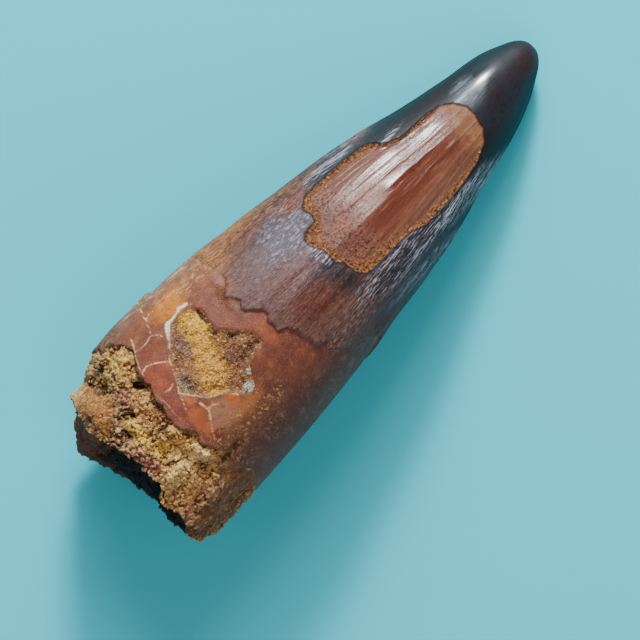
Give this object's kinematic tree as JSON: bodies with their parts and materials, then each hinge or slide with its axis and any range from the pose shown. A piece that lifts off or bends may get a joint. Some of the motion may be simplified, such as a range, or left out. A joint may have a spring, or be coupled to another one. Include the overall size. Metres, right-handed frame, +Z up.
{
  "type": "fossil dinosaur tooth",
  "caption": "Stout conical fossil tooth lying on its side, with fluted enamel flaked off one face, a jagged enamel edge, a sandy crust and a rough broken root.",
  "frame": {"origin": "centre of the tooth's box on the surface that it lies on", "axes": "+X along the tooth from its broken root to its tip, +Y across it, +Z up from the surface"},
  "size_m": [0.0867, 0.0308, 0.0261],
  "materials": {
    "tooth": "polished black-brown enamel and red-brown dentine towards the tip, satin brown root, sandy ochre break"
  },
  "bodies": {
    "root": {"tooth": "tooth"}
  },
  "joints": []
}
